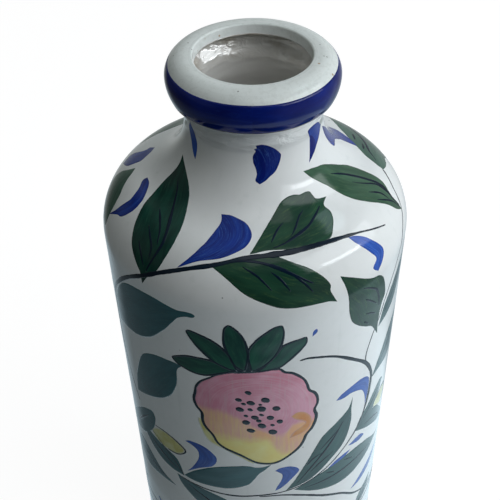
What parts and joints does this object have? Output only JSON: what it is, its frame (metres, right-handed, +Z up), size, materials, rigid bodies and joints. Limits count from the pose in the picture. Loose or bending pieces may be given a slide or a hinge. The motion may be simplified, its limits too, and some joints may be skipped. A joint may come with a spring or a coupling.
{
  "type": "pottery vase",
  "caption": "Tall glazed earthenware vase with a rolled lip, short neck and round shoulder, painted with leaves, branches and fruit; stands upright and holds stems.",
  "frame": {"origin": "centre of the foot's underside, on the axis of the pot", "axes": "+Z up along the axis of the pot; the painted fruit seen from the front faces -Y; +X to its right"},
  "size_m": [0.1538, 0.1536, 0.34],
  "materials": {
    "bare_clay": "rough fired earthenware",
    "white_glaze": "glossy tin-white glaze, slightly grey and cool",
    "lining_glaze": "glossy thin warm grey glaze, stained near the mouth",
    "cobalt_enamel": "glossy brushed cobalt blue",
    "leaf_enamel": "glossy brushed dark green",
    "dark_enamel": "glossy brushed blue-black line",
    "rose_enamel": "glossy streaky rose pink",
    "yellow_enamel": "glossy washed yellow and orange"
  },
  "bodies": {
    "root": {"foot_ring": "bare_clay", "base_dish": "bare_clay", "body_wall": "bare_clay", "shoulder": "bare_clay", "neck": "bare_clay", "lip_ring": "bare_clay", "outer_glaze": "white_glaze", "lining_glaze": "lining_glaze", "lip_band": "cobalt_enamel", "foot_band": "cobalt_enamel"}
  },
  "joints": []
}
